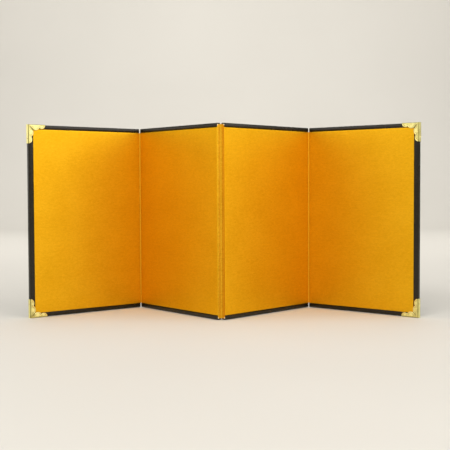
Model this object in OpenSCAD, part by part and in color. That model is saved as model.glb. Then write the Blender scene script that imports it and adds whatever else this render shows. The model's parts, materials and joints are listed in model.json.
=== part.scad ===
// Four-leaf table-top folding screen: paper-faced boards in grooved black edging,
// joined by folded paper hinges, with pressed gilt fittings on the four outer corners.
// Millimetres, +Z up, front faces towards -Y. The origin is on the surface that the
// screen stands on, at the middle of its bounding box.

/* [Panels] */
// Height of a panel over its edging
panel_h = 180; // [120:5:300]
// Width of a panel, from end face to end face
panel_w = 123.5; // [80:0.5:200]
// Thickness of the core board
core_t = 3; // [2:0.2:6]
// Thickness of the facing papers, front and back
paper_t = 0.3; // [0.2:0.05:0.5]

/* [Edging] */
// Width of the rails seen from the front
rail_w = 4; // [3:0.2:8]
// Width of the stiles seen from the front
stile_w = 4.9; // [3:0.1:8]
// Thickness of the edging outside the bottom of its groove
edging_floor = 1.2; // [0.8:0.1:2]
// How far the edging stands proud of the papers
edging_proud = 0.3; // [0.2:0.05:0.8]
// Rounding of the edging's outer edges
edging_round = 0.8; // [0.4:0.1:1]
// Rounding of the edging's inner edges
edging_inner_round = 0.25; // [0.1:0.05:0.25]
// Clearance on each side of the board in the groove
groove_clear = 0.04; // [0.02:0.01:0.1]

/* [Hinges] */
// Gap between two panels' end faces when the fold is flat
hinge_gap = 1.2; // [1:0.1:2]
// Thickness of the hinge paper and of the edge linings
hinge_paper_t = 0.2; // [0.1:0.05:0.3]
// Width of the hinge paper's wing under a facing paper
hinge_wing = 12; // [6:1:20]
// Clearance from a hinge paper's fold line to each of its leaves
fold_clear = 0.1; // [0.05:0.05:0.2]

/* [Corner fittings] */
// Thickness of the fittings' sheet
fitting_t = 0.4; // [0.3:0.05:0.5]
// Reach of a fitting's arms from the corner
fitting_arm = 17.3; // [14:0.1:24]
// Depth of the lobe next to the mitre
big_lobe_depth = 5.1; // [4.6:0.1:6]
// Depth of the lobe at the tip
tip_lobe_depth = 3.8; // [3.4:0.1:4.4]
// Depth of an arm between its lobes
arm_depth = 2.6; // [2:0.1:3]
// Distance of the mitre's inner point from both outer faces
mitre_depth = 4.2; // [3.8:0.1:4.6]

/* [Nails] */
// Diameter of a nail's shank
nail_d = 0.7; // [0.5:0.1:0.8]
// Diameter of a nail's head
nail_head_d = 1.5; // [1.2:0.1:2]
// Thickness of a nail's head, let in flush
nail_head_t = 0.25; // [0.15:0.05:0.25]
// Length of a nail under its head
nail_len = 5; // [3:0.5:8]
// Distance of the nails from the corner
nail_s = 12.5; // [10:0.5:13]

/* [Stance] */
// Turn of panel 1 from the X axis
turn_1 = 39; // [20:1:60]
// Turn of panel 2 from the X axis
turn_2 = 51; // [20:1:60]
// Turn of panel 3 from the X axis
turn_3 = 47; // [20:1:60]
// Turn of panel 4 from the X axis
turn_4 = 41; // [20:1:60]

/* [Hidden] */
$fn = 48;

// Panels are numbered 0 to 3 from the left. A fold's axis lies in the plane of the
// edging's front faces at the two outer folds, and of its back faces at the centre.
FRONT = -1;
BACK = 1;
OUTER_LEFT = 0;
OUTER_RIGHT = 3;

edging_t = core_t + 2 * (paper_t + edging_proud);
groove_w = core_t + 2 * groove_clear;
half_gap = hinge_gap / 2;
headings = [turn_1, -turn_2, turn_3, -turn_4];
// Side of the fold's axis at each panel's left and right end, 0 where there is no fold.
left_fold = [0, FRONT, BACK, FRONT];
right_fold = [FRONT, BACK, FRONT, 0];

// A nail's hole is this much wider than its shank, on each side.
nail_clear = 0.04;
// Lobes: place along the arm, and radius, of each arc.
big_lobe_s = 7.3;
big_lobe_r = 4.3;
tip_lobe_r = 3.7;
tip_lobe_s = fitting_arm - tip_lobe_r;
// The flanges end this far short of the plates' tips.
flange_setback = 0.2;
// The mitre is a slit that opens from its outer end towards its inner point.
mitre_start = 0.9;
mitre_open = 0.45;

// Place of a point of a panel's own plan, turned by the panel's heading.
function turned(p, a) = [p[0] * cos(a) - p[1] * sin(a), p[0] * sin(a) + p[1] * cos(a)];
// Fold axis at a panel's left end and right end, in the panel's own plan.
function left_axis(side) = [-half_gap, side * edging_t / 2];
function right_axis(side) = [panel_w + half_gap, side * edging_t / 2];

// Panels are chained from the centre fold outwards.
centre_fold = [0, 0];
origin_3 = centre_fold - turned(left_axis(BACK), headings[2]);
right_fold_axis = origin_3 + turned(right_axis(FRONT), headings[2]);
origin_4 = right_fold_axis - turned(left_axis(FRONT), headings[3]);
origin_2 = centre_fold - turned(right_axis(BACK), headings[1]);
left_fold_axis = origin_2 + turned(left_axis(FRONT), headings[1]);
origin_1 = left_fold_axis - turned(right_axis(FRONT), headings[0]);
origins = [origin_1, origin_2, origin_3, origin_4];

// Plan corners of each panel, its fittings included, give the bounding box.
function grown(i, x) =
    (i == OUTER_LEFT && x == 0) ? -fitting_t : (i == OUTER_RIGHT && x == 1) ? fitting_t : 0;
plan_corners = [
    for (i = [0:3], x = [0, 1], side = [FRONT, BACK])
        origins[i] + turned(
            [x * panel_w + grown(i, x), side * (edging_t / 2 + abs(grown(i, x)))],
            headings[i])
];
plan_x = [for (p = plan_corners) p[0]];
plan_y = [for (p = plan_corners) p[1]];
middle = [(min(plan_x) + max(plan_x)) / 2, (min(plan_y) + max(plan_y)) / 2];

// Puts what is drawn in a panel's own frame (x along it, y through it, z up) in place.
module on_panel(i) {
    translate([origins[i][0] - middle[0], origins[i][1] - middle[1], fitting_t])
        rotate([0, 0, headings[i]])
            children();
}

// Turns a piece drawn at the left end so that it sits at the right end.
module at_right_end() {
    translate([panel_w, 0, 0]) mirror([1, 0, 0]) children();
}

module at_outer_end(i) {
    if (i == OUTER_RIGHT) at_right_end() children();
    else children();
}

// Turns a piece drawn at the bottom so that it sits at the top.
module at_top() {
    translate([0, 0, panel_h]) mirror([0, 0, 1]) children();
}

// Cross-section of edging of a width: x through the panel, y from its outer face inwards.
module edging_profile(width) {
    difference() {
        union() {
            translate([-edging_t / 2, edging_round])
                square([edging_t, width - edging_round - edging_inner_round]);
            translate([-edging_t / 2 + edging_round, 0])
                square([edging_t - 2 * edging_round, width]);
            translate([-edging_t / 2 + edging_inner_round, width / 2])
                square([edging_t - 2 * edging_inner_round, width / 2]);
            for (side = [FRONT, BACK]) {
                translate([side * (edging_t / 2 - edging_round), edging_round])
                    circle(r = edging_round);
                translate([side * (edging_t / 2 - edging_inner_round),
                           width - edging_inner_round])
                    circle(r = edging_inner_round);
            }
        }
        translate([-groove_w / 2, edging_floor])
            square([groove_w, width]);
    }
}

// Prism that takes the mitred end off a length of edging of the given width, whose neighbour
// is neighbour_w wide. It leaves what lies under the line between the corners they share.
module mitre_cutter(width, neighbour_w) {
    over = 1;
    slope = width / neighbour_w;
    translate([0, edging_t, 0])
        rotate([90, 0, 0])
            linear_extrude(2 * edging_t)
                polygon([
                    [-over, -over * slope], [-over, width + over * slope],
                    [neighbour_w + over, width + over * slope]
                ]);
}

// Holes for one corner's nails: one up through the rail, one in through the stile.
module nail_holes() {
    over = 1;
    hole_d = nail_d + 2 * nail_clear;
    hole_len = nail_len + over + nail_clear;
    translate([nail_s, 0, -over]) cylinder(d = hole_d, h = hole_len);
    translate([-over, 0, nail_s]) rotate([0, 90, 0]) cylinder(d = hole_d, h = hole_len);
}

module rail(i) {
    color([0.09, 0.08, 0.07])
        at_outer_end(i) difference() {
            rotate([90, 0, 90]) linear_extrude(panel_w) edging_profile(rail_w);
            if (i == OUTER_LEFT || i == OUTER_RIGHT) {
                mitre_cutter(rail_w, stile_w);
                nail_holes();
            }
        }
}

module stile(i) {
    color([0.09, 0.08, 0.07])
        at_outer_end(i) difference() {
            linear_extrude(panel_h) rotate(-90) edging_profile(stile_w);
            for (k = [0, 1]) translate([0, 0, k * panel_h]) mirror([0, 0, k]) {
                mirror([1, 0, -1]) mitre_cutter(stile_w, rail_w);
                nail_holes();
            }
        }
}

// Height at which the paper of a fold starts, and its distance from the top where it ends:
// at the outer folds it fills the space between the rails, at the centre the board's height.
function fold_start(side) = (side == FRONT) ? rail_w : edging_floor;

// Carries a fold's plan up over the height of its paper.
module fold_height(side) {
    translate([0, 0, fold_start(side)])
        linear_extrude(panel_h - 2 * fold_start(side))
            children();
}

// Wing of hinge paper at a panel's left end, let into the board's face under the facing
// paper. The board has a rebate of the same shape.
module wing_plate(side) {
    fold_height(side)
        translate([0, side * (core_t - hinge_paper_t) / 2 - hinge_paper_t / 2])
            square([hinge_wing, hinge_paper_t]);
}

// Half of the web that joins two wings: it leans out from the wing to the fold's axis and
// ends just short of it, so that the two halves stay clear of each other at any angle.
module hinge_web(side) {
    inner_y = core_t / 2 - hinge_paper_t;
    tip_x = fold_clear - half_gap;
    tip_y = edging_t / 2 - fold_clear;
    fold_height(side)
        mirror([0, side < 0 ? 1 : 0])
            polygon([
                [0, inner_y], [0, core_t / 2], [tip_x + hinge_paper_t, tip_y],
                [tip_x, tip_y], [tip_x, tip_y - hinge_paper_t]
            ]);
}

module core_board(i) {
    outer_l = (i == OUTER_LEFT) ? edging_floor : 0;
    outer_r = (i == OUTER_RIGHT) ? edging_floor : 0;
    color([0.62, 0.55, 0.44]) difference() {
        translate([outer_l, -core_t / 2, edging_floor])
            cube([panel_w - outer_l - outer_r, core_t, panel_h - 2 * edging_floor]);
        if (left_fold[i] != 0) wing_plate(left_fold[i]);
        if (right_fold[i] != 0) at_right_end() wing_plate(right_fold[i]);
        if (i == OUTER_LEFT || i == OUTER_RIGHT)
            at_outer_end(i) {
                nail_holes();
                at_top() nail_holes();
            }
    }
}

// Facing paper: fills the field inside the edging, up to the panel's hinged ends.
module facing_paper(i, side) {
    left = (i == OUTER_LEFT) ? stile_w : 0;
    right = (i == OUTER_RIGHT) ? stile_w : 0;
    translate([left, side * (core_t + paper_t) / 2 - paper_t / 2, rail_w])
        cube([panel_w - left - right, paper_t, panel_h - 2 * rail_w]);
}

module gold_paper(i) {
    color([0.86, 0.6, 0.16]) facing_paper(i, FRONT);
}

module back_paper(i) {
    color([0.17, 0.24, 0.2]) facing_paper(i, BACK);
}

// Half of a hinge paper: its wing in the board, and its half of the web.
module hinge_leaf(i, right_end) {
    side = right_end ? right_fold[i] : left_fold[i];
    module leaf() {
        wing_plate(side);
        hinge_web(side);
    }
    color([0.83, 0.57, 0.15])
        if (right_end) at_right_end() leaf();
        else leaf();
}

// Paper that lines a hinged end face, from the far face up to the hinge paper.
module edge_lining(i, right_end) {
    side = right_end ? right_fold[i] : left_fold[i];
    lining_w = core_t + paper_t - hinge_paper_t;
    module plate()
        fold_height(side)
            translate([-hinge_paper_t,
                       -side * (core_t / 2 + paper_t) - (side > 0 ? 0 : lining_w)])
                square([hinge_paper_t, lining_w]);
    color([0.9, 0.65, 0.2])
        if (right_end) at_right_end() plate();
        else plate();
}

// One arm of a fitting's plate: x along the arm from the corner, y inwards. Two lobes
// meet in a cusp, and the mitre's edge leans away from the diagonal.
module fitting_arm_outline() {
    mitre_y = mitre_depth - mitre_open;
    intersection() {
        union() {
            translate([big_lobe_s, big_lobe_depth - big_lobe_r]) circle(r = big_lobe_r);
            translate([tip_lobe_s, tip_lobe_depth - tip_lobe_r]) circle(r = tip_lobe_r);
            translate([-fitting_t, -fitting_t])
                square([tip_lobe_s + fitting_t, arm_depth + fitting_t]);
            translate([mitre_start, -fitting_t])
                square([big_lobe_s - mitre_start, mitre_y + fitting_t]);
        }
        polygon([
            [-fitting_t, -fitting_t], [fitting_arm, -fitting_t],
            [fitting_arm, 2 * big_lobe_depth],
            [mitre_depth + big_lobe_depth, mitre_y + big_lobe_depth],
            [mitre_depth, mitre_y], [mitre_start, mitre_start]
        ]);
    }
}

module fitting_plate() {
    rotate([90, 0, 0]) linear_extrude(fitting_t) {
        fitting_arm_outline();
        mirror([1, -1, 0]) fitting_arm_outline();
    }
}

// Pressed cap over a bottom left corner: two plates joined by two outer flanges.
module fitting_cap() {
    flange_len = fitting_arm - flange_setback;
    flange_w = edging_t + 2 * fitting_t;
    difference() {
        union() {
            translate([0, -edging_t / 2, 0]) fitting_plate();
            translate([0, edging_t / 2 + fitting_t, 0]) fitting_plate();
            translate([-fitting_t, -flange_w / 2, -fitting_t])
                cube([flange_len + fitting_t, flange_w, fitting_t]);
            translate([-fitting_t, -flange_w / 2, -fitting_t])
                cube([fitting_t, flange_w, flange_len + fitting_t]);
        }
        nail_holes();
        nail_heads(nail_clear);
    }
}

// Flush heads of one corner's nails, grown all round by clear.
module nail_heads(clear) {
    head_d = nail_head_d + 2 * clear;
    translate([nail_s, 0, -fitting_t]) cylinder(d = head_d, h = nail_head_t);
    translate([-fitting_t, 0, nail_s]) rotate([0, 90, 0]) cylinder(d = head_d, h = nail_head_t);
}

module corner_fitting(i) {
    color([0.93, 0.85, 0.5]) at_outer_end(i) fitting_cap();
}

module corner_nails(i) {
    color([0.85, 0.72, 0.4]) at_outer_end(i) {
        nail_heads(0);
        translate([nail_s, 0, -fitting_t]) cylinder(d = nail_d, h = nail_len);
        translate([-fitting_t, 0, nail_s]) rotate([0, 90, 0]) cylinder(d = nail_d, h = nail_len);
    }
}

on_panel(0) core_board(0);  // core_board_1
on_panel(1) core_board(1);  // core_board_2
on_panel(2) core_board(2);  // core_board_3
on_panel(3) core_board(3);  // core_board_4
on_panel(0) gold_paper(0);  // gold_paper_1
on_panel(1) gold_paper(1);  // gold_paper_2
on_panel(2) gold_paper(2);  // gold_paper_3
on_panel(3) gold_paper(3);  // gold_paper_4
on_panel(0) back_paper(0);  // back_paper_1
on_panel(1) back_paper(1);  // back_paper_2
on_panel(2) back_paper(2);  // back_paper_3
on_panel(3) back_paper(3);  // back_paper_4
on_panel(0) at_top() rail(0);  // top_rail_1
on_panel(1) at_top() rail(1);  // top_rail_2
on_panel(2) at_top() rail(2);  // top_rail_3
on_panel(3) at_top() rail(3);  // top_rail_4
on_panel(0) rail(0);  // bottom_rail_1
on_panel(1) rail(1);  // bottom_rail_2
on_panel(2) rail(2);  // bottom_rail_3
on_panel(3) rail(3);  // bottom_rail_4
on_panel(0) stile(0);  // left_stile
on_panel(3) stile(3);  // right_stile
on_panel(0) hinge_leaf(0, true);  // left_hinge_outer_leaf
on_panel(1) hinge_leaf(1, false);  // left_hinge_inner_leaf
on_panel(1) hinge_leaf(1, true);  // centre_hinge_left_leaf
on_panel(2) hinge_leaf(2, false);  // centre_hinge_right_leaf
on_panel(2) hinge_leaf(2, true);  // right_hinge_inner_leaf
on_panel(3) hinge_leaf(3, false);  // right_hinge_outer_leaf
on_panel(0) edge_lining(0, true);  // left_hinge_outer_lining
on_panel(1) edge_lining(1, false);  // left_hinge_inner_lining
on_panel(1) edge_lining(1, true);  // centre_hinge_left_lining
on_panel(2) edge_lining(2, false);  // centre_hinge_right_lining
on_panel(2) edge_lining(2, true);  // right_hinge_inner_lining
on_panel(3) edge_lining(3, false);  // right_hinge_outer_lining
on_panel(0) at_top() corner_fitting(0);  // top_left_fitting
on_panel(0) corner_fitting(0);  // bottom_left_fitting
on_panel(3) at_top() corner_fitting(3);  // top_right_fitting
on_panel(3) corner_fitting(3);  // bottom_right_fitting
on_panel(0) at_top() corner_nails(0);  // top_left_nails
on_panel(0) corner_nails(0);  // bottom_left_nails
on_panel(3) at_top() corner_nails(3);  // top_right_nails
on_panel(3) corner_nails(3);  // bottom_right_nails
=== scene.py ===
"""Looks of a table-top folding screen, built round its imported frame.

All lengths are in metres. Each panel has its own directions: s runs along it from its left
end, f from its middle plane towards its gold front, and h up from the edging's underside.
"""

import json
import math

import bmesh
import bpy
import numpy as np
from mathutils import Matrix


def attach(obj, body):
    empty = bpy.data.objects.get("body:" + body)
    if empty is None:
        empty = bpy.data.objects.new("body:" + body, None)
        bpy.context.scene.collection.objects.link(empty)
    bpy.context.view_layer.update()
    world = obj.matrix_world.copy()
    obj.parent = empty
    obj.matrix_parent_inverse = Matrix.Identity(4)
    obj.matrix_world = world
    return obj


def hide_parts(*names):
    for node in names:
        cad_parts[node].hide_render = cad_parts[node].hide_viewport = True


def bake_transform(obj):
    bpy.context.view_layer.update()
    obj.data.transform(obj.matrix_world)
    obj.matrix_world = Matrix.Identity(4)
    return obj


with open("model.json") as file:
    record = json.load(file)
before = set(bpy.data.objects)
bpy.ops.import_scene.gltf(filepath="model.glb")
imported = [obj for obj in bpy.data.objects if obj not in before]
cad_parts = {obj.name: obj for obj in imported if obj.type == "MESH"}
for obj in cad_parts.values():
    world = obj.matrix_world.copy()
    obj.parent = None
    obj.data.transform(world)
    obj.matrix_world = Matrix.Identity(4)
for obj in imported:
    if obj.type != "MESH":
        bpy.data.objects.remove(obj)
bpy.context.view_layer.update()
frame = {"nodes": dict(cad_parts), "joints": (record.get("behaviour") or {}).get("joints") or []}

MM = 0.001
FRONT = 1
BACK = -1
LEFT_PANEL = 1
RIGHT_PANEL = 4
PANELS = (1, 2, 3, 4)
# Each fold joins two neighbouring panels, and its axis lies on their front or back side.
FOLDS = (
    ("left_hinge", 1, 2, FRONT),
    ("centre_hinge", 2, 3, BACK),
    ("right_hinge", 3, 4, FRONT),
)

# Surface coordinates are in metres. These shifts give no two pieces the same stretch of a
# texture: one for each panel, one for each side of a panel and one for each hinge.
UV_NAME = "metres"
PANEL_SHIFT = 0.4
SIDE_SHIFT = 0.5
HINGE_SHIFT = 0.7
# Marks that a finish reads at each point of a piece.
WEAR_AND_SHADE = "wear_and_shade"
# Painted highlights at the hinge strips' corners.
HIGHLIGHT_MARK = "corner_highlight"
# Painted shade on the hinge strips: along their seams, in their creases and on their darker side.
SHADE_MARK = "painted_shade"


# ---------------------------------------------------------------- the frame's measures


def node_points(name):
    """The vertices of a CAD node as rows of x, y, z."""
    mesh = frame["nodes"][name].data
    points = np.empty(len(mesh.vertices) * 3, np.float32)
    mesh.vertices.foreach_get("co", points)
    return points.reshape(-1, 3).astype(float)


def span(name, direction):
    """Lowest and highest place of a CAD node along a direction."""
    places = node_points(name) @ direction
    return places.min(), places.max()


class Panel:
    """One panel's own directions and measures, read from its CAD nodes."""

    up = np.array([0.0, 0.0, 1.0])

    def __init__(self, number):
        self.number = number
        self.body = f"panel_{number}"
        flat = node_points(f"gold_paper_{number}")[:, :2]
        # The long side of the paper's footprint is its direction of greatest spread.
        along = np.linalg.eigh(np.cov(flat.T))[1][:, -1]
        along = along * np.sign(along[0])
        self.along = np.array([along[0], along[1], 0.0])
        self.front = np.array([along[1], -along[0], 0.0])
        rail = f"bottom_rail_{number}"
        self.left, right = span(rail, self.along)
        back, front = span(rail, self.front)
        self.bottom, rail_top = span(rail, self.up)
        self.length = right - self.left
        self.thickness = front - back
        self.middle = (front + back) / 2
        self.rail_width = rail_top - self.bottom
        self.height = span(f"top_rail_{number}", self.up)[1] - self.bottom
        self.paper_front = span(f"gold_paper_{number}", self.front)[1] - self.middle
        self.board_front = span(f"gold_paper_{number}", self.front)[0] - self.middle
        self.board_bottom = span(f"core_board_{number}", self.up)[0] - self.bottom
        # Only an outer panel's free end has a stile.
        self.stile = {LEFT_PANEL: "left_stile", RIGHT_PANEL: "right_stile"}.get(number)
        edges = span(self.stile, self.along) if self.stile else (0.0, 0.0)
        self.stile_width = edges[1] - edges[0]

    def place(self, s, f, h):
        """Points of the row frame from arrays of the panel's own s, f and h."""
        s, f, h = np.broadcast_arrays(s, f, h)
        return (
            (self.left + s)[..., None] * self.along
            + (self.middle + f)[..., None] * self.front
            + (self.bottom + h)[..., None] * self.up
        )


panels = {number: Panel(number) for number in PANELS}


# ---------------------------------------------------------------- meshes from arrays


def grid_faces(rows, columns, closed=False):
    """Quads of a grid of rows by columns points; closed joins the last column to the first."""
    row = np.arange(rows - 1)[:, None]
    column = np.arange(columns if closed else columns - 1)[None, :]
    following = (column + 1) % columns
    corners = [
        row * columns + column,
        row * columns + following,
        (row + 1) * columns + following,
        (row + 1) * columns + column,
    ]
    return np.stack(corners, -1).reshape(-1, 4).tolist()


def make_piece(name, points, faces, uv, finish, smooth_degrees, weld=0.0, marks=None):
    """A mesh piece with one finish. uv has a pair of metres for each point.

    Faces that meet at less than smooth_degrees shade as one surface, and points closer than
    weld become one. marks has a number for each point under each name."""
    mesh = bpy.data.meshes.new(name)
    mesh.from_pydata(points.reshape(-1, 3).tolist(), [], faces)
    for mark, values in (marks or {}).items():
        mesh.attributes.new(mark, "FLOAT", "POINT").data.foreach_set("value", values.ravel())
    layer = mesh.uv_layers.new(name=UV_NAME)
    corner_points = np.empty(len(mesh.loops), np.int32)
    mesh.loops.foreach_get("vertex_index", corner_points)
    flat_uv = uv.reshape(-1, 2)[corner_points]
    layer.uv.foreach_set("vector", flat_uv.astype(np.float32).ravel())
    shell = bmesh.new()
    shell.from_mesh(mesh)
    if weld:
        bmesh.ops.remove_doubles(shell, verts=shell.verts[:], dist=weld)
        bmesh.ops.dissolve_degenerate(shell, edges=shell.edges[:], dist=weld)
    bmesh.ops.recalc_face_normals(shell, faces=shell.faces[:])
    shell.to_mesh(mesh)
    shell.free()
    mesh.polygons.foreach_set("use_smooth", np.ones(len(mesh.polygons), bool))
    mesh.set_sharp_from_angle(angle=math.radians(smooth_degrees))
    mesh.materials.append(finish)
    piece = bpy.data.objects.new(name, mesh)
    bpy.context.scene.collection.objects.link(piece)
    return piece


def arc(centre, radius, first_degrees, last_degrees, count):
    """Points along a circle's arc, as rows of two coordinates."""
    angles = np.radians(np.linspace(first_degrees, last_degrees, count))
    return np.stack([np.cos(angles), np.sin(angles)], -1) * radius + np.array(centre)


def smooth_step(x):
    """0 below 0, 1 above 1, and a smooth climb between them."""
    x = np.clip(x, 0.0, 1.0)
    return x * x * (3 - 2 * x)


def bump_at(x, middle, width):
    """A bell curve of height 1."""
    return np.exp(-(((x - middle) / width) ** 2))


# ---------------------------------------------------------------- shader expressions


class Wire:
    """One output of a shader node, so that shader maths reads as an expression."""

    def __init__(self, finish, socket):
        self.finish = finish
        self.socket = socket

    def math(self, operation, first, second):
        return self.finish.node("ShaderNodeMath", {"operation": operation}, {0: first, 1: second})

    def __add__(self, other):
        return self.math("ADD", self, other)

    def __sub__(self, other):
        return self.math("SUBTRACT", self, other)

    def __rsub__(self, other):
        return self.math("SUBTRACT", other, self)

    def __mul__(self, other):
        return self.math("MULTIPLY", self, other)

    __radd__ = __add__

    def between(self, low, high):
        """0 below low, 1 above high, and a smooth climb between them."""
        settings = {"interpolation_type": "SMOOTHSTEP"}
        return self.finish.node("ShaderNodeMapRange", settings, {0: self, 1: low, 2: high})


class Finish:
    """A material with one Principled shader, whose constants are set on its own sockets."""

    def __init__(self, name, **constants):
        self.material = bpy.data.materials.new(name)
        self.material.use_nodes = True
        self.tree = self.material.node_tree
        self.shader = self.tree.nodes["Principled BSDF"]
        for socket, value in constants.items():
            self.shader.inputs[socket.replace("_", " ")].default_value = value

    def node(self, kind, settings=None, inputs=None, output=0):
        """Adds a node: its settings first, then the values or wires of its sockets."""
        made = self.tree.nodes.new(kind)
        for setting, value in (settings or {}).items():
            setattr(made, setting, value)
        for socket, value in (inputs or {}).items():
            self.join(made.inputs[socket], value)
        return Wire(self, made.outputs[output])

    def join(self, socket, value):
        if isinstance(value, Wire):
            self.tree.links.new(value.socket, socket)
        else:
            socket.default_value = value

    def feed(self, **wires):
        """Joins wires to the Principled shader's sockets."""
        for socket, wire in wires.items():
            self.join(self.shader.inputs[socket.replace("_", " ")], wire)
        return self

    def attribute(self, name):
        """One of a piece's marks."""
        return self.node("ShaderNodeAttribute", {"attribute_name": name}, output="Fac")

    def along_surface(self):
        return self.node("ShaderNodeUVMap", {"uv_map": UV_NAME})

    def in_space(self):
        return self.node("ShaderNodeTexCoord", output="Object")

    def stretched(self, vector, factors):
        """The vector with its parts multiplied: a factor below 1 draws a texture out there."""
        settings = {"operation": "MULTIPLY"}
        return self.node("ShaderNodeVectorMath", settings, {0: vector, 1: factors})

    def noise(self, vector, size, detail=2.0, roughness=0.5, distortion=0.0):
        """Cloudy noise whose spots are about size across."""
        inputs = {
            "Vector": vector,
            "Scale": 1 / size,
            "Detail": detail,
            "Roughness": roughness,
            "Distortion": distortion,
        }
        return self.node("ShaderNodeTexNoise", None, inputs)

    def cells(self, vector, size):
        """Distance to the nearest of scattered points that are about size apart."""
        return self.node("ShaderNodeTexVoronoi", None, {"Vector": vector, "Scale": 1 / size})

    def mix(self, factor, first, second):
        """A colour between first and second. The node's colour sockets are 6 and 7 in, 2 out."""
        settings = {"data_type": "RGBA"}
        return self.node("ShaderNodeMix", settings, {0: factor, 6: first, 7: second}, output=2)

    def relief(self, height, depth, strength=1.0):
        """A bumped normal: height 1 stands depth above height 0."""
        inputs = {"Height": height, "Distance": depth, "Strength": strength}
        return self.node("ShaderNodeBump", None, inputs)


def rgb(red, green, blue):
    return (red, green, blue, 1.0)


def gold_paper_finish(name, light, deep, base_roughness):
    """Gilt paper: a mottled metal film over the grain and fibres of handmade paper."""
    paper = Finish(name, Metallic=0.96, Specular_Tint=rgb(1.0, 0.80, 0.30))
    surface = paper.along_surface()
    clouds = paper.noise(surface, 34 * MM, detail=3)
    mottle = paper.noise(paper.stretched(surface, (0.45, 1.0, 1.0)), 1.5 * MM, 4, 0.62, 0.4)
    streaks = paper.noise(paper.stretched(surface, (0.25, 1.0, 1.0)), 3.2 * MM, 3, 0.55, 0.8)
    fibres = paper.noise(paper.stretched(surface, (0.12, 1.0, 1.0)), 0.55 * MM, 3, 0.6, 1.2)
    grain = paper.noise(surface, 0.22 * MM, 2)
    flakes = paper.cells(surface, 0.8 * MM)
    shade = mottle * 0.42 + streaks * 0.12 + clouds * 0.2 + fibres * 0.16 + flakes * 0.15
    height = mottle * 0.5 + fibres * 0.3 + grain * 0.2
    paper.feed(
        Base_Color=paper.mix(shade.between(0.36, 0.69), deep, light),
        Roughness=base_roughness + (mottle - 0.5) * 0.12 + (grain - 0.5) * 0.08,
        Normal=paper.relief(height, 0.06 * MM, 0.5),
    )
    return paper


def hinge_paper_finish():
    """The gilt paper of the folds: painted shade along its creases, its seams and its darker end
    face, and painted highlights in cream at its corners."""
    paper = gold_paper_finish(
        "gilt_hinge_paper", rgb(0.88, 0.54, 0.030), rgb(0.68, 0.37, 0.010), 0.46
    )
    surface = paper.along_surface()
    ragged = paper.noise(surface, 0.7 * MM, 3, 0.7)
    # Painted highlight: the strip's corners turn pale cream and much less metallic.
    corner_highlight = (paper.attribute(HIGHLIGHT_MARK) + ragged * 0.5).between(0.55, 0.75)
    # Painted shade: the gilt turns a deep brown where the strip's mark says so.
    painted_shade = paper.attribute(SHADE_MARK) * (0.7 + ragged * 0.6)
    gilt = Wire(paper, paper.shader.inputs["Base Color"].links[0].from_socket)
    shaded = paper.mix(painted_shade, gilt, rgb(0.70, 0.25, 0.004))
    return paper.feed(
        Base_Color=paper.mix(corner_highlight, shaded, rgb(0.94, 0.84, 0.56)),
        Metallic=0.96 - corner_highlight * 0.8,
    )


def back_paper_finish():
    """Dyed handmade paper for the back: matt, with pale fibres and a cloudy dye."""
    paper = Finish("dyed_back_paper")
    surface = paper.along_surface()
    clouds = paper.noise(surface, 30 * MM, 3)
    fibres = paper.noise(paper.stretched(surface, (0.16, 1.0, 1.0)), 0.7 * MM, 4, 0.65, 2.5)
    flecks = paper.noise(surface, 1.2 * MM, 3, 0.7)
    grain = paper.noise(surface, 0.25 * MM)
    dye = paper.mix(clouds, rgb(0.012, 0.045, 0.030), rgb(0.022, 0.075, 0.048))
    fibred = paper.mix(fibres.between(0.60, 0.74) * 0.45, dye, rgb(0.09, 0.16, 0.10))
    flecked = paper.mix(flecks.between(0.68, 0.76) * 0.4, fibred, rgb(0.14, 0.20, 0.12))
    return paper.feed(
        Base_Color=flecked,
        Roughness=0.74 + grain * 0.16,
        Normal=paper.relief(fibres * 0.6 + grain * 0.4, 0.06 * MM, 0.6),
    )


def edging_finish():
    """Black gloss edging: a faint orange peel, dust in the clouds and fine rubbed lines."""
    gloss = Finish("black_gloss_edging", Coat_Roughness=0.12, Specular_IOR_Level=0.26)
    surface = gloss.along_surface()
    peel = gloss.noise(surface, 1.1 * MM, 2)
    clouds = gloss.noise(surface, 14 * MM, 4, 0.6)
    rubbed = gloss.noise(gloss.stretched(surface, (0.03, 1.0, 1.0)), 0.18 * MM, 3, 0.6)
    specks = gloss.cells(surface, 1.6 * MM)
    dust = 1 - specks.between(0.05, 0.13)
    black = gloss.mix(clouds, rgb(0.007, 0.005, 0.002), rgb(0.017, 0.012, 0.004))
    worn = dust * 0.08 + rubbed.between(0.62, 0.8) * 0.05
    color = gloss.mix(worn, black, rgb(0.20, 0.17, 0.12))
    return gloss.feed(
        Base_Color=color,
        Roughness=0.20 + clouds * 0.12 + rubbed.between(0.55, 0.8) * 0.14,
        Coat_Weight=0.16 - clouds * 0.1,
        Normal=gloss.relief(peel * 0.8 + rubbed * 0.2, 0.008 * MM, 0.5),
    )


def gilt_finish(name, bright, dull, base_roughness):
    """Pale gilt pressed metal: rubbed bright where it stands out, dark in its hollows and in the
    painted shade of its mark, with a ring-punched ground, soft tarnish and fine scratches."""
    gilt = Finish(name, Metallic=1.0)
    place = gilt.in_space()
    # Rubbed brightness and painted shade, read as one mark of the piece.
    wear_and_shade = gilt.attribute(WEAR_AND_SHADE)
    clouds = gilt.noise(place, 3.2 * MM, 3)
    punched = gilt.cells(place, 0.42 * MM)
    rings = bell(punched, 0.42, 0.16)
    scratches = gilt.noise(gilt.stretched(place, (1.0, 1.0, 0.12)), 0.16 * MM, 2, 0.6)
    shine = wear_and_shade - clouds.between(0.45, 0.75) * 0.22 - rings * (1 - wear_and_shade) * 0.35
    return gilt.feed(
        Base_Color=gilt.mix(shine.between(-0.15, 0.75), dull, bright),
        Roughness=base_roughness + clouds * 0.1 + scratches.between(0.5, 0.8) * 0.12,
        Normal=gilt.relief(rings * 0.8 + scratches * 0.2, 0.035 * MM, 0.5),
    )


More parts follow.
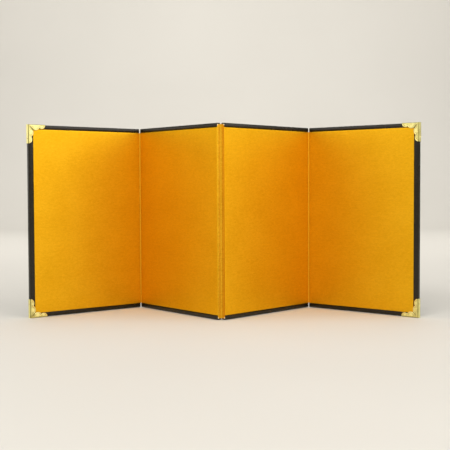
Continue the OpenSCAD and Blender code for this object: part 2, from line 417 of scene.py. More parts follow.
def bell(wire, middle, width):
    """1 where the wire is at middle, falling smoothly to 0 at width to either side."""
    return wire.between(middle - width, middle) * (1 - wire.between(middle, middle + width))


def board_finish():
    """Fibreboard: short pressed fibres in two browns."""
    board = Finish("fibreboard", Roughness=0.85)
    place = board.in_space()
    fibres = board.noise(board.stretched(place, (1.0, 1.0, 0.3)), 0.5 * MM, 4, 0.7, 1.5)
    clouds = board.noise(place, 6 * MM, 3)
    color = board.mix(fibres * 0.7 + clouds * 0.3, rgb(0.16, 0.10, 0.055), rgb(0.42, 0.30, 0.18))
    return board.feed(Base_Color=color, Normal=board.relief(fibres, 0.08 * MM, 0.8))


def floor_finish():
    """Pale studio floor with a very soft unevenness."""
    floor = Finish("pale_floor", Specular_IOR_Level=0.25)
    clouds = floor.noise(floor.in_space(), 0.35, 2)
    color = floor.mix(clouds, rgb(0.62, 0.60, 0.56), rgb(0.66, 0.64, 0.60))
    return floor.feed(Base_Color=color, Roughness=0.6 + clouds * 0.1).material


finishes = {
    "gold_paper": gold_paper_finish(
        "gilt_facing_paper", rgb(0.885, 0.495, 0.016), rgb(0.76, 0.385, 0.006), 0.47
    ),
    "hinge_paper": hinge_paper_finish(),
    "back_paper": back_paper_finish(),
    "edging": edging_finish(),
    "fitting": gilt_finish("pale_gilt_sheet", rgb(0.97, 0.89, 0.36), rgb(0.34, 0.27, 0.06), 0.28),
    "nail": gilt_finish("gilt_nail", rgb(0.95, 0.80, 0.40), rgb(0.50, 0.36, 0.13), 0.22),
    "core_board": board_finish(),
}
finishes = {slot: finish.material for slot, finish in finishes.items()}


# ---------------------------------------------------------------- edging

EDGING_FLOOR = panels[1].board_bottom
EDGING_ROUND = 0.8 * MM
EDGING_INNER_ROUND = 0.3 * MM
EDGING_CROWN = 0.12 * MM
EDGING_END_BEVEL = 0.12 * MM
GROOVE_CLEAR = 0.04 * MM
EDGING_RINGS = 41
EDGING_SMOOTH_DEGREES = 30
FINEST_WELD = 0.0005 * MM


def edging_profile(panel, width):
    """Loop of (f, d) points round the moulding, where d is the depth from its outer edge.

    Each half has a quarter circle at both edges of its face, and the face between them is
    a parabola that stands EDGING_CROWN higher at its middle. The groove is square."""
    half = panel.thickness / 2
    groove = panel.board_front + GROOVE_CLEAR
    inner_middle = width - EDGING_INNER_ROUND
    low_face = half - EDGING_CROWN
    inner = arc((low_face - EDGING_INNER_ROUND, inner_middle), EDGING_INNER_ROUND, 90, 0, 7)
    outer = arc((low_face - EDGING_ROUND, EDGING_ROUND), EDGING_ROUND, 0, -90, 12)
    rise = np.linspace(-1, 1, 15)[1:-1]
    face_d = inner_middle + (EDGING_ROUND - inner_middle) * (rise + 1) / 2
    face = np.stack([half - EDGING_CROWN * rise**2, face_d], -1)
    foot = [[groove, EDGING_FLOOR], [groove, width]]
    half_loop = np.concatenate([foot, inner, face, outer])
    return np.concatenate([half_loop, half_loop[::-1] * np.array([-1, 1])])


def shrunk(loop, depth):
    """A closed loop moved inwards by a depth, along the normals of its neighbours' chords."""
    chord = np.roll(loop, -1, 0) - np.roll(loop, 1, 0)
    normal = np.stack([chord[:, 1], -chord[:, 0]], -1)
    normal /= np.linalg.norm(normal, axis=1)[:, None]
    x, y = loop.T
    turning = np.sign(np.sum(x * np.roll(y, -1) - y * np.roll(x, -1)))
    return loop - turning * normal * depth


def edging_piece(name, panel, width, length, start_slope, end_slope, place):
    """The moulding's profile carried along a straight line, with mitred or square ends.

    A mitred end leans, so that each point lies its depth times the slope along. A square
    end has slope 0, and its last ring is shrunk for a small bevel."""
    profile = edging_profile(panel, width)
    d = profile[:, 1]
    share = np.concatenate([[0], np.linspace(0, 1, EDGING_RINGS), [1]])[:, None]
    start, end = d * start_slope, length - d * end_slope
    along = start * (1 - share) + end * share
    along[1] += 0 if start_slope else EDGING_END_BEVEL
    along[-2] -= 0 if end_slope else EDGING_END_BEVEL
    loops = np.repeat(profile[None], len(share), 0)
    if not start_slope:
        loops[0] = shrunk(profile, EDGING_END_BEVEL)
    if not end_slope:
        loops[-1] = shrunk(profile, EDGING_END_BEVEL)
    points = place(along, loops[..., 1], loops[..., 0])
    girth = np.concatenate([[0], np.cumsum(np.hypot(*np.diff(profile, axis=0).T))])
    uv = np.stack([along + PANEL_SHIFT * panel.number, np.broadcast_to(girth, along.shape)], -1)
    faces = grid_faces(len(share), len(profile), closed=True)
    first = list(range(len(profile)))
    last = [i + (len(share) - 1) * len(profile) for i in first]
    piece = make_piece(
        f"gloss_{name}",
        points,
        faces + [first, last[::-1]],
        uv,
        finishes["edging"],
        EDGING_SMOOTH_DEGREES,
        weld=FINEST_WELD,
    )
    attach(piece, panel.body)
    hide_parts(name)


def edge_panel(panel):
    """Both rails of a panel, and the stile of an outer panel's free end."""
    height, length = panel.height, panel.length
    rail_slope = panel.stile_width / panel.rail_width
    left = rail_slope if panel.number == LEFT_PANEL else 0.0
    right = rail_slope if panel.number == RIGHT_PANEL else 0.0

    def bottom(a, d, f):
        return panel.place(a, f, d)

    def top(a, d, f):
        return panel.place(a, f, height - d)

    def free_end(a, d, f):
        return panel.place(length - d if right else d, f, a)

    for level, place in (("bottom", bottom), ("top", top)):
        name = f"{level}_rail_{panel.number}"
        edging_piece(name, panel, panel.rail_width, length, left, right, place)
    if panel.stile:
        slope = 1 / rail_slope
        edging_piece(panel.stile, panel, panel.stile_width, height, slope, slope, free_end)


# ---------------------------------------------------------------- facing papers

PAPER_ROUND = 0.22 * MM
PAPER_RIPPLE = 0.035 * MM
PAPER_EDGE_STEPS = 5
PAPER_COLUMNS = 90
PAPER_ROWS = 126
PAPER_SMOOTH_DEGREES = 60
PAPER_WELD = 0.001 * MM
# Radians a metre along s and h, and the share of the sheet's own phase, of each wave.
RIPPLES = ((71, 23, 1), (-31, 93, 2), (163, 0, 3), (117, 141, -1))


def paper_lines(low, high, count):
    """Grid lines across a sheet: a doubled first line for its wall, then closer lines where
    it rounds over, and even ones between."""
    turn = np.radians(np.linspace(0, 90, PAPER_EDGE_STEPS))
    rounded = PAPER_ROUND * (1 - np.cos(turn))
    inside = np.linspace(low + PAPER_ROUND, high - PAPER_ROUND, count)[1:-1]
    lines = np.concatenate([[low], low + rounded, inside, high - rounded[::-1], [high]])
    wall = np.zeros(len(lines), bool)
    wall[[0, -1]] = True
    return lines, wall


def facing_paper(name, panel, side, finish_name):
    """A glued sheet: flat but for a slow ripple, and rounded over all round its border.

    The drop at the border is that of a circle of radius PAPER_ROUND, from the distance
    past the line where the rounding starts. The ripple is a sum of four long sine waves."""
    left = panel.stile_width if panel.number == LEFT_PANEL else 0.0
    right = panel.length - (panel.stile_width if panel.number == RIGHT_PANEL else 0.0)
    bottom, top = panel.rail_width, panel.height - panel.rail_width
    s, s_wall = paper_lines(left, right, PAPER_COLUMNS)
    h, h_wall = paper_lines(bottom, top, PAPER_ROWS)
    s, h = np.meshgrid(s, h, indexing="ij")
    past_s = np.maximum(0, PAPER_ROUND - np.minimum(s - left, right - s))
    past_h = np.maximum(0, PAPER_ROUND - np.minimum(h - bottom, top - h))
    past = np.minimum(np.hypot(past_s, past_h), PAPER_ROUND)
    drop = PAPER_ROUND - np.sqrt(PAPER_ROUND**2 - past**2)
    phase = 2.4 * panel.number + side
    ripple = sum(np.sin(s * x + h * y + share * phase) for x, y, share in RIPPLES) / len(RIPPLES)
    height = panel.paper_front - drop - PAPER_RIPPLE * (ripple + 1) / 2
    height = np.where(s_wall[:, None] | h_wall[None, :], panel.board_front, height)
    points = panel.place(s, side * height, h)
    uv = np.stack([s + PANEL_SHIFT * panel.number, h + SIDE_SHIFT * side], -1)
    rows, columns = s.shape
    index = np.arange(rows * columns).reshape(rows, columns)
    border = np.concatenate([index[0, :], index[1:, -1], index[-1, -2::-1], index[-2:0:-1, 0]])
    faces = grid_faces(rows, columns) + [border.tolist()]
    finish = finishes[finish_name]
    piece = make_piece(name, points, faces, uv, finish, PAPER_SMOOTH_DEGREES, weld=PAPER_WELD)
    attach(piece, panel.body)
    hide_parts(f"{finish_name}_{panel.number}")


# ---------------------------------------------------------------- hinges

HINGE_PAPER = 0.2 * MM
HINGE_GAP_HALF = 0.6 * MM
HINGE_CORNER = 0.24 * MM
HINGE_ROWS = 421
HINGE_STEP = 0.35 * MM
HINGE_CRINKLE = 0.045 * MM
# Height of each wave, its beat a mm of height, drift a metre of girth and share of the
# strip's own phase, then the beat a mm and the share of the phase of the sine it fades with.
CRINKLES = ((1.0, 2.9, 900, 1, 0.47, 2), (0.8, 1.7, -1500, 3, 0.23, 1))
# Half the width of a zone across the fold's axis. The strip works out its two ends, but nothing
# uses them.
FOLD_ZONE = 0.3 * MM
# How far the painted highlights at the corners and the painted shade of the seam, the crease and
# its lighter crest reach.
HIGHLIGHT_REACH = 1.1 * MM
SEAM_REACH = 0.6 * MM
CREASE_REACH = 0.9 * MM
CREST_REACH = 0.25 * MM
# Painted shade over the whole strip, and how much more of it there is by its last edge, whose end
# face is the darker one. Its first edge has none of it.
STRIP_SHADE = 0.12
STRIP_SHADE_RISE = 0.18
# Painted shade in a front fold's crease, and the share of it taken off the crest.
CREASE_SHADE = 0.95
CREST_LIGHTER = 0.7


def rounded_path(corners, radius, steps=6):
    """A path through corners, each inner one cut back by radius and bridged by a parabola."""
    path = [corners[0]]
    for before, corner, after in zip(corners, corners[1:], corners[2:]):
        into = (before - corner) / np.linalg.norm(before - corner)
        out = (after - corner) / np.linalg.norm(after - corner)
        t = np.linspace(0, 1, steps)[:, None]
        start, end = corner + into * radius, corner + out * radius
        path.extend((1 - t) ** 2 * start + 2 * t * (1 - t) * corner + t**2 * end)
    path.append(corners[-1])
    return np.array(path)


def with_steps(path, step):
    """The path with points added so that none are further apart than about a step."""
    run = np.concatenate([[0], np.cumsum(np.hypot(*np.diff(path, axis=0).T))])
    extra = np.arange(step, run[-1], step)
    places = np.sort(np.concatenate([run, extra]))
    places = places[np.concatenate([[True], np.diff(places) > 0.02 * MM])]
    return np.stack([np.interp(places, run, path[:, i]) for i in range(2)], -1), places


def crinkle(run, h, phase):
    """Uneven waves of height 1 across a strip: sines up its height whose beat and phase
    drift along its girth, and that fade where the sines are out of step."""
    waves = 0.0
    for height, beat, drift, share, fade_beat, fade_share in CRINKLES:
        wave = np.sin(h / MM * beat + drift * run + share * phase)
        waves = waves + height * wave * np.sin(h / MM * fade_beat + fade_share * phase)
    return waves / sum(row[0] for row in CRINKLES)


def hinge_strip(name, left_panel, right_panel, side, low, high):
    """One folded strip of gilt paper that lines both end faces and joins them at the axis.

    Its plan is a path down one end face, out to the fold and back up the other, thickened
    to both sides along the path's normals. It is carried straight up from low to high, and
    crinkled along the same normals."""
    reach = left_panel.thickness / 2
    lining = HINGE_PAPER / 2
    far = -side * (left_panel.paper_front - lining)
    near = side * (left_panel.paper_front - 1.5 * lining)
    fold = side * (reach - lining)
    stations = [(lining, far), (lining, near), (HINGE_GAP_HALF, fold)]
    one = [left_panel.place(left_panel.length + x, f, 0.0)[:2] for x, f in stations]
    two = [right_panel.place(-x, f, 0.0)[:2] for x, f in stations]
    axis = (one[2] + two[2]) / 2
    path = rounded_path([*one[:2], axis, *two[1::-1]], HINGE_CORNER)
    path, run = with_steps(path, HINGE_STEP)
    course = np.gradient(path, run, axis=0)
    course /= np.linalg.norm(course, axis=1)[:, None]
    normal = np.stack([-course[:, 1], course[:, 0]], -1)
    rows = np.linspace(low, high, HINGE_ROWS)
    # The path is walked out and back, and the way back lies on the strip's other face.
    out_and_back = np.concatenate([np.arange(len(path)), np.arange(len(path))[::-1]])
    run_of = run[out_and_back]
    half = np.repeat([HINGE_PAPER / 2, -HINGE_PAPER / 2], len(path))
    offset = half + HINGE_CRINKLE * crinkle(run_of, rows[:, None], left_panel.number)
    points = np.empty((*offset.shape, 3))
    points[..., :2] = path[out_and_back] + normal[out_and_back] * offset[..., None]
    points[..., 2] = rows[:, None]
    from_end = np.minimum(rows - low, high - rows)[:, None]
    from_edge = np.minimum(run_of, run[-1] - run_of)
    # Painted highlights in cream at the corners, and a painted shadow line along the last edge
    # where it meets the next paper.
    corner_highlight = bump_at(from_edge, 0, HIGHLIGHT_REACH) * bump_at(from_end, 0, HIGHLIGHT_REACH)
    painted_shade = STRIP_SHADE + STRIP_SHADE_RISE * smooth_step(run_of / run[-1])
    painted_shade = painted_shade + bump_at(run_of, run[-1], SEAM_REACH)
    painted_shade = painted_shade - STRIP_SHADE * bump_at(run_of, 0, SEAM_REACH)
    # Painted shade in the crease of a front fold, less of it on its crest.
    if side == FRONT:
        from_crease = np.abs(run_of - run[-1] / 2)
        crease = bump_at(from_crease, 0, CREASE_REACH)
        crease = crease - CREST_LIGHTER * bump_at(from_crease, 0, CREST_REACH)
        painted_shade = np.maximum(painted_shade, CREASE_SHADE * crease)
    uv_run = run_of + HINGE_SHIFT * left_panel.number
    uv = np.stack(np.broadcast_arrays(uv_run, rows[:, None]), -1)
    loop = len(out_and_back)
    faces = grid_faces(HINGE_ROWS, loop, closed=True)
    first = list(range(loop))
    last = [i + (HINGE_ROWS - 1) * loop for i in first]
    strip = make_piece(
        f"{name}_strip",
        points,
        faces + [first, last[::-1]],
        uv,
        finishes["hinge_paper"],
        PAPER_SMOOTH_DEGREES,
        marks={HIGHLIGHT_MARK: corner_highlight, SHADE_MARK: np.broadcast_to(painted_shade, offset.shape)},
    )
    across = left_panel.along + right_panel.along
    across = across[:2] / np.linalg.norm(across)
    middle_h = (low + high) / 2
    start, end = axis - across * FOLD_ZONE, axis + across * FOLD_ZONE
    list(start)
    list(end)
    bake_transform(strip)
    return strip


# What each hinge's two halves are called in the frame.
HINGE_NODES = {
    "left_hinge": ("outer", "inner"),
    "centre_hinge": ("left", "right"),
    "right_hinge": ("inner", "outer"),
}


# ---------------------------------------------------------------- corner fittings

SHEET = 0.4 * MM
BEND = 1.15 * MM
ARM = 17.3 * MM
BIG_LOBE = (7.3 * MM, 0.8 * MM)
BIG_LOBE_R = 4.3 * MM
TIP_LOBE_R = 3.7 * MM
TIP_LOBE = (ARM - TIP_LOBE_R, 0.1 * MM)
MITRE_START = 0.9 * MM
MITRE_END = (4.2 * MM, 3.75 * MM)
ARM_COLUMNS = (64, 74)
PLATE_ROWS = 38
BEND_ROWS = 11
FLANGE_ROWS = 25
FITTING_SMOOTH_DEGREES = 62
FITTING_WELD = 0.004 * MM
# The visible shell is a little thinner than the sheet, so that its inside clears the edging.
SHELL = 0.34 * MM
RELIEF = 0.16 * MM
RIM_PLACE = 0.46 * MM
RIM_WIDTH = 0.2 * MM
EDGE_DROP = 0.10 * MM
EDGE_ROUND = 0.18 * MM
# Centre, radius and petals of the rosette in each lobe.
FLOWERS = (((7.2 * MM, 2.2 * MM), 1.9 * MM, 6), ((13.2 * MM, 1.3 * MM), 1.45 * MM, 5))
VINE_START = 3 * MM
VINE_PLACE = 1.0 * MM
VINE_SWING = 0.55 * MM
VINE_WIDTH = 0.22 * MM
# Radians a metre, and a place where the vine crosses its middle line.
VINE_BEAT = 1500
VINE_CROSSING = 8.6 * MM
GROUND_RAISED = 0.45
NAIL_SINK = 0.15 * MM
NAIL_SINK_REACH = 0.35 * MM
NAIL_PLACE = 12.5 * MM
NAIL_HEAD_R = 0.75 * MM


def lobes_meet():
    """Where the two lobes' circles cross, on their inner side."""
    one, two = np.array(BIG_LOBE), np.array(TIP_LOBE)
    apart = np.linalg.norm(two - one)
    along = (two - one) / apart
    reach = (apart**2 + BIG_LOBE_R**2 - TIP_LOBE_R**2) / (2 * apart)
    across = np.array([-along[1], along[0]]) * math.sqrt(BIG_LOBE_R**2 - reach**2)
    return one + along * reach + across


def arm_outline():
    """The scalloped edge of one arm, from the mitre's end over both lobes to the tip."""
    cusp = lobes_meet()

    def bearing(centre, point):
        return math.degrees(math.atan2(point[1] - centre[1], point[0] - centre[0]))

    first, last = bearing(BIG_LOBE, MITRE_END), bearing(BIG_LOBE, cusp)
    big = arc(BIG_LOBE, BIG_LOBE_R, first, last, ARM_COLUMNS[0])
    tip = -math.degrees(math.asin((SHEET + TIP_LOBE[1]) / TIP_LOBE_R))
    end = arc(TIP_LOBE, TIP_LOBE_R, bearing(TIP_LOBE, cusp), tip, ARM_COLUMNS[1])
    return np.concatenate([big, end[1:]])


def plate_profile(depth, half):
    """Places across the front plate, from its bend to a depth: (d, f) along a quarter circle
    and then straight. Near the tip the plate ends inside the bend."""
    bend_end = BEND * math.pi / 2
    room = depth + SHEET
    inside_bend = BEND * np.arccos(np.clip(1 - room / BEND, -1, 1))
    whole = np.where(room < BEND, inside_bend, bend_end + room - BEND)
    in_bend = np.linspace(0, 1, BEND_ROWS) * np.minimum(whole, bend_end)[:, None]
    on_plate = np.linspace(0, 1, PLATE_ROWS)[1:] * (whole - np.minimum(whole, bend_end))[:, None]
    run = np.concatenate([in_bend, in_bend[:, -1:] + on_plate], 1)
    turn = np.minimum(run, bend_end) / BEND
    straight = np.maximum(run - bend_end, 0)
    d = -SHEET + BEND * (1 - np.cos(turn)) + straight
    f = half + SHEET - BEND + BEND * np.sin(turn)
    return d, f


def flower(a, d, centre, radius, petals):
    """A rosette that stands out: petals that swell round a small boss."""
    x, y = a - centre[0], d - centre[1]
    r = np.hypot(x, y) / radius
    turn = np.arctan2(y, x)
    petal = 0.62 + 0.38 * np.cos(petals * turn)
    ring = bump_at(r, 0.62, 0.26) * petal
    return np.where(r < 1.3, ring + 0.9 * bump_at(r, 0.0, 0.24), 0.0)


def distance_to(a, d, edge):
    """Distance from each point (a, d) to the nearest point of an edge."""
    points = np.stack([a, d], -1).reshape(-1, 1, 2)
    return np.linalg.norm(points - edge[None], axis=-1).min(1).reshape(a.shape)


def plate_relief(a, d, outline):
    """Height pressed into a plate, and from 0 to 1 how bright it is rubbed, less its painted
    shade: a rim that stands out, a rosette in each lobe and a vine between them.

    The rim is a bell curve of the distance to the outline, which also rounds the sheet's edge
    over. The metal is dark in its hollows and along the mitre, with painted shade round its bend
    and along its scalloped edge."""
    mitre = np.linspace((MITRE_START, MITRE_START), MITRE_END, 40)
    to_mitre = distance_to(a, d, mitre)
    to_scallop = distance_to(a, d, outline)
    distance = np.minimum(to_mitre, to_scallop)
    rim = bump_at(to_scallop, RIM_PLACE, RIM_WIDTH)
    edge_drop = EDGE_DROP * (1 - smooth_step(distance / EDGE_ROUND))
    flowers = sum(flower(a, d, *rosette) for rosette in FLOWERS)
    vine_d = VINE_PLACE + VINE_SWING * np.sin((a - VINE_CROSSING) * VINE_BEAT)
    vine = bump_at(d, vine_d, VINE_WIDTH) * smooth_step((a - VINE_START) / (1.5 * MM))
    motif = np.maximum(np.minimum(flowers, 1.0), 0.75 * vine)
    motif = motif * smooth_step((distance - 0.6 * MM) / (0.3 * MM))
    on_plate = smooth_step((d + SHEET - 0.7 * BEND) / (0.7 * MM))
    standing = np.maximum(rim, motif) * on_plate
    wear_and_shade = GROUND_RAISED + (1 - GROUND_RAISED) * standing + 0.35 * (1 - on_plate)
    # Painted shade round the bend, for the dark it reflects there, most of all along one fine
    # line.
    bend_shade = 0.35 * bump_at(d + SHEET, 0.0, 1.5 * MM)
    bend_shade = bend_shade + 0.6 * bump_at(d + SHEET, 0.3 * BEND, 0.3 * MM)
    wear_and_shade = wear_and_shade * (1 - bend_shade)
    wear_and_shade = wear_and_shade * (0.25 + 0.75 * smooth_step(to_mitre / (0.4 * MM)))
    # Painted shadow along the scalloped edge: the dark line under the sheet's edge.
    wear_and_shade = wear_and_shade * (0.2 + 0.8 * smooth_step(to_scallop / (0.3 * MM)))
    return RELIEF * standing - edge_drop, np.minimum(wear_and_shade, 1.0)


def arm_surface(half):
    """Outer surface of one arm as arrays of a, d and f.

    Columns are rays from the outer edge to the scalloped outline, the first along the
    mitre. Rows run over the front plate, round its bend, over the flange and down the back.
    The fourth array says how bright each point is rubbed, less its painted shade."""
    outline = arm_outline()
    share = np.linspace(0, 1, len(outline))
    tip_a = outline[-1, 0]
    run = (outline[:, 0] - MITRE_END[0]) / (tip_a - MITRE_END[0])
    edge_a = -SHEET + (tip_a + SHEET) * (0.45 * run + 0.55 * share**1.15)
    edge_a[-1] = tip_a
    d, f = plate_profile(outline[:, 1], half)
    reach = (d + SHEET) / np.maximum(outline[:, 1] + SHEET, 1e-9)[:, None]
    a = edge_a[:, None] + (outline[:, 0] - edge_a)[:, None] * reach
    slope = (MITRE_END[0] - MITRE_START) / (MITRE_END[1] - MITRE_START)
    mitre = np.where(d[0] < MITRE_START, d[0], MITRE_START + (d[0] - MITRE_START) * slope)
    a = a + (mitre - a[0]) * ((1 - share) ** 6)[:, None]
    relief, wear_and_shade = plate_relief(a, d, outline)
    flange_f = np.linspace(1, -1, FLANGE_ROWS)[1:-1] * (half + SHEET - BEND)
    flange_a = np.repeat(edge_a[:, None], len(flange_f), 1)
    to_nail = np.hypot(flange_a - NAIL_PLACE, flange_f)
    sink = NAIL_SINK * (1 - smooth_step((to_nail - NAIL_HEAD_R) / NAIL_SINK_REACH))
    flange_f = np.broadcast_to(flange_f, flange_a.shape)
    all_a = np.concatenate([a[:, ::-1], flange_a, a], 1)
    all_d = np.concatenate([d[:, ::-1], -SHEET + sink, d], 1)
    all_f = np.concatenate([(f + relief)[:, ::-1], flange_f, -(f + relief)], 1)
    from_bend = half + SHEET - BEND - np.abs(flange_f)
    # The flange is rubbed bright, but for a dark ring round the nail and painted shade along the
    # bends.
    flange_wear_and_shade = 1.05 - 0.6 * bump_at(to_nail, NAIL_HEAD_R, 0.2 * MM)
    flange_wear_and_shade = flange_wear_and_shade - 0.4 * bump_at(from_bend, 0, 0.3 * MM)
    all_wear_and_shade = np.concatenate([wear_and_shade[:, ::-1], flange_wear_and_shade, wear_and_shade], 1)
    return all_a, all_d, all_f, all_wear_and_shade


def corner_place(panel, at_top):
    """The function that puts a corner's own (s, h, f) on a panel's outer corner."""

    def put(s, h, f):
        s = panel.length - s if panel.number == RIGHT_PANEL else s
        h = panel.height - h if at_top else h
        return panel.place(s, f, h)

    return put


def corner_fitting(name, panel, at_top):
    """Pressed cap over an outer corner: two arms that mirror each other in the mitre."""
    put = corner_place(panel, at_top)
    a, d, f, wear_and_shade = arm_surface(panel.thickness / 2)
    arms = np.stack([put(a, d, f), put(d, a, f)])
    uv = np.stack([np.stack([a, f], -1)] * 2)
    rows, columns = a.shape
    faces = grid_faces(rows, columns)
    second = [[i + rows * columns for i in face[::-1]] for face in faces]
    cap = make_piece(
        f"pressed_{name}",
        arms,
        faces + second,
        uv,
        finishes["fitting"],
        FITTING_SMOOTH_DEGREES,
        weld=FITTING_WELD,
        marks={WEAR_AND_SHADE: np.stack([wear_and_shade] * 2)},
    )
    face_outwards(cap, put(3 * MM, 3 * MM, 0.0))
    sheet = cap.modifiers.new("sheet", "SOLIDIFY")
    sheet.thickness = SHELL
    sheet.offset = -1
    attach(cap, panel.body)
    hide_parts(name)


def face_outwards(piece, inside):
    """Turns an open shell's faces so that most of them look away from a point inside it."""
    mesh = piece.data
    centres = np.empty(len(mesh.polygons) * 3, np.float32)
    normals = np.empty(len(mesh.polygons) * 3, np.float32)
    mesh.polygons.foreach_get("center", centres)
    mesh.polygons.foreach_get("normal", normals)
    outward = (centres.reshape(-1, 3) - np.asarray(inside)) * normals.reshape(-1, 3)
    if outward.sum(1).mean() < 0:
        mesh.flip_normals()


# ---------------------------------------------------------------- nails

NAIL_D = 0.7 * MM
NAIL_LENGTH = 5.0 * MM
NAIL_TAPER = 0.8 * MM
NAIL_DOME_R = 2.4 * NAIL_HEAD_R
NAIL_SIDES = 28
NAIL_SMOOTH_DEGREES = 40


def nail_profile():
    """(radius, depth) points of a domed nail from its crown to its point."""
    edge_angle = math.degrees(math.asin(NAIL_HEAD_R / NAIL_DOME_R))
    crown = arc((0.0, NAIL_DOME_R), NAIL_DOME_R, -90, edge_angle - 90, 8)
    edge = crown[-1, 1]
    rim = [[NAIL_HEAD_R, edge + 0.05 * MM], [0.96 * NAIL_HEAD_R, edge + 0.09 * MM]]
    taper = NAIL_LENGTH - NAIL_TAPER
    shank = [[NAIL_D / 2, edge + 0.1 * MM], [NAIL_D / 2, taper], [0.02 * MM, NAIL_LENGTH]]
    return np.concatenate([crown, rim, shank])


def corner_nails(name, panel, at_top):
    """Two domed nails, each a profile turned about its axis, one up and one sideways."""
    put = corner_place(panel, at_top)
    profile = nail_profile()
    turn = np.linspace(0, 2 * math.pi, NAIL_SIDES, endpoint=False)
    radius, depth = profile[:, :1], profile[:, 1:] - SHEET
    x, y = radius * np.cos(turn), radius * np.sin(turn)
    depth = np.broadcast_to(depth, x.shape)
    nails = np.stack([put(NAIL_PLACE + x, depth, y), put(depth, NAIL_PLACE + x, y)])
    faces = grid_faces(len(profile), NAIL_SIDES, closed=True)
    second = [[i + x.size for i in face] for face in faces]
    uv = np.stack([np.stack([x, y], -1)] * 2)
    crown_raised = np.broadcast_to(1.2 - 0.9 * radius / NAIL_HEAD_R, x.shape)
    piece = make_piece(
        f"domed_{name}",
        nails,
        faces + second,
        uv,
        finishes["nail"],
        NAIL_SMOOTH_DEGREES,
        weld=FINEST_WELD,
        marks={WEAR_AND_SHADE: np.stack([crown_raised] * 2)},
    )
    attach(piece, panel.body)
    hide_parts(name)


# ---------------------------------------------------------------- assembly

for panel in panels.values():
    edge_panel(panel)
    facing_paper(f"gilt_front_{panel.number}", panel, FRONT, "gold_paper")
    facing_paper(f"dyed_back_{panel.number}", panel, BACK, "back_paper")
    board = frame["nodes"][f"core_board_{panel.number}"]
    board.data.materials.clear()
    board.data.materials.append(finishes["core_board"])

for hinge, left_number, right_number, side in FOLDS:
    heights = span(f"{hinge}_{HINGE_NODES[hinge][0]}_lining", Panel.up)
    strip = hinge_strip(hinge, panels[left_number], panels[right_number], side, *heights)
    for end in HINGE_NODES[hinge]:
        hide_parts(f"{hinge}_{end}_leaf", f"{hinge}_{end}_lining")

for where, panel in (("left", panels[LEFT_PANEL]), ("right", panels[RIGHT_PANEL])):
    for level in ("top", "bottom"):
        corner_fitting(f"{level}_{where}_fitting", panel, level == "top")
        corner_nails(f"{level}_{where}_nails", panel, level == "top")


# ---------------------------------------------------------------- floor, light and camera


def backdrop():
    """Floor that curves up into a wall behind: a profile carried sideways."""
    near, depth, wall, radius, half_width = -4.0, 2.6, 3.0, 0.9, 4.0
    bend = arc((depth - radius, radius), radius, -90, 0, 24)
    profile = np.concatenate([[[near, 0.0]], bend, [[depth, wall]]])
    x = np.linspace(-half_width, half_width, 3)
    points = np.empty((len(profile), len(x), 3))
    points[..., 0] = x
    points[..., 1] = profile[:, :1]
    points[..., 2] = profile[:, 1:]
    faces = grid_faces(*points.shape[:2])
    finish = floor_finish()
    make_piece("floor", points, faces, points[..., :2], finish, smooth_degrees=60)


def area_light(name, place, target, width, height, watts):
    """A rectangular soft light that faces a point and isn't itself seen."""
    light = bpy.data.lights.new(name, "AREA")
    light.shape = "RECTANGLE"
    light.size = width
    light.size_y = height
    light.energy = watts
    light.color = LIGHT_COLOR
    lamp = bpy.data.objects.new(name, light)
    lamp.visible_camera = False
    away = np.array(place) - np.array(target)
    lamp.matrix_world = aimed(place, away)
    bpy.context.scene.collection.objects.link(lamp)


def aimed(place, backwards, roll_degrees=0.0):
    """The matrix of something at a place whose own -Z looks against the backwards vector."""
    z = np.array(backwards) / np.linalg.norm(backwards)
    x = np.cross((0, 0, 1), z)
    x /= np.linalg.norm(x)
    turned = np.stack([x, np.cross(z, x), z], 1)
    roll = Matrix.Rotation(math.radians(roll_degrees), 4, "Z")
    matrix = Matrix(turned.tolist()).to_4x4() @ roll
    matrix.translation = place
    return matrix


SCREEN_MIDDLE = (0.0, 0.0, 0.09)
LIGHT_COLOR = (1.0, 0.98, 0.94)
WORLD_COLOR = (1.0, 0.97, 0.91, 1.0)
WORLD_STRENGTH = 0.26
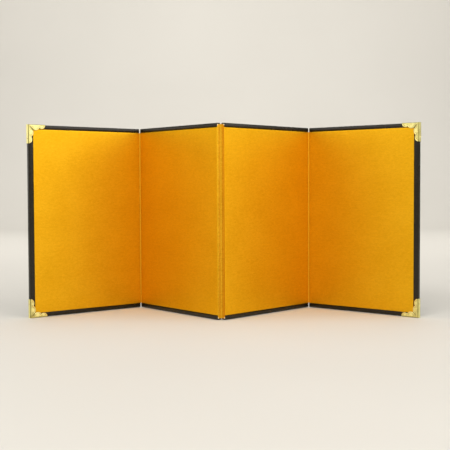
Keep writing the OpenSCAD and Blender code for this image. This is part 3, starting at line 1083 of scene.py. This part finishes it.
# Name, place, what it faces, width, height and watts of each light.
LIGHTS = (
    ("key", (-0.55, -1.35, 1.15), SCREEN_MIDDLE, 1.0, 1.0, 17.0),
    ("front_fill", (0.9, -1.4, 0.9), SCREEN_MIDDLE, 1.0, 0.9, 10.0),
    ("right", (1.25, -0.35, 0.70), SCREEN_MIDDLE, 1.1, 1.0, 8.0),
    ("left", (-1.25, -0.30, 0.70), SCREEN_MIDDLE, 1.1, 1.0, 5.5),
    ("left_rim", (-1.30, 0.60, 0.25), SCREEN_MIDDLE, 0.6, 0.35, 0.9),
    ("overhead", (0.0, 0.6, 1.7), (0.0, 0.3, 0.0), 1.8, 1.2, 11.0),
    ("wall", (0.0, 0.9, 1.5), (0.0, 2.6, 0.5), 2.2, 0.8, 26.0),
)

backdrop()
for light in LIGHTS:
    area_light(*light)

world = bpy.data.worlds.new("studio")
world.use_nodes = True
background = world.node_tree.nodes["Background"]
background.inputs["Color"].default_value = WORLD_COLOR
background.inputs["Strength"].default_value = WORLD_STRENGTH
bpy.context.scene.world = world
bpy.context.scene.view_settings.view_transform = "Standard"

# The camera stands in front of the centre fold, a little above mid height. Its angles are
# in degrees, and its lens and sensor in millimetres.
CAMERA_ASIDE = 0.15 * MM
CAMERA_BACK = 876.2 * MM
CAMERA_HEIGHT = 124.3 * MM
CAMERA_TURN = 0.22
CAMERA_PITCH = 2.447
CAMERA_ROLL = -0.23
CAMERA_LENS = 76.72
CAMERA_SENSOR = 36.0

centre_fold = next(joint for joint in frame["joints"] if joint["name"] == "centre_fold")
fold_x, fold_y, _ = centre_fold["pos_m"]
camera_data = bpy.data.cameras.new("camera")
camera_data.sensor_width = CAMERA_SENSOR
camera_data.lens = CAMERA_LENS
camera_data.clip_start = 0.01
camera = bpy.data.objects.new("camera", camera_data)
turn, pitch = math.radians(CAMERA_TURN), math.radians(CAMERA_PITCH)
ahead = (math.sin(turn) * math.cos(pitch), math.cos(turn) * math.cos(pitch), -math.sin(pitch))
camera_place = (fold_x + CAMERA_ASIDE, fold_y - CAMERA_BACK, panels[1].bottom + CAMERA_HEIGHT)
camera.matrix_world = aimed(camera_place, [-part for part in ahead], CAMERA_ROLL)
bpy.context.scene.collection.objects.link(camera)
bpy.context.scene.camera = camera
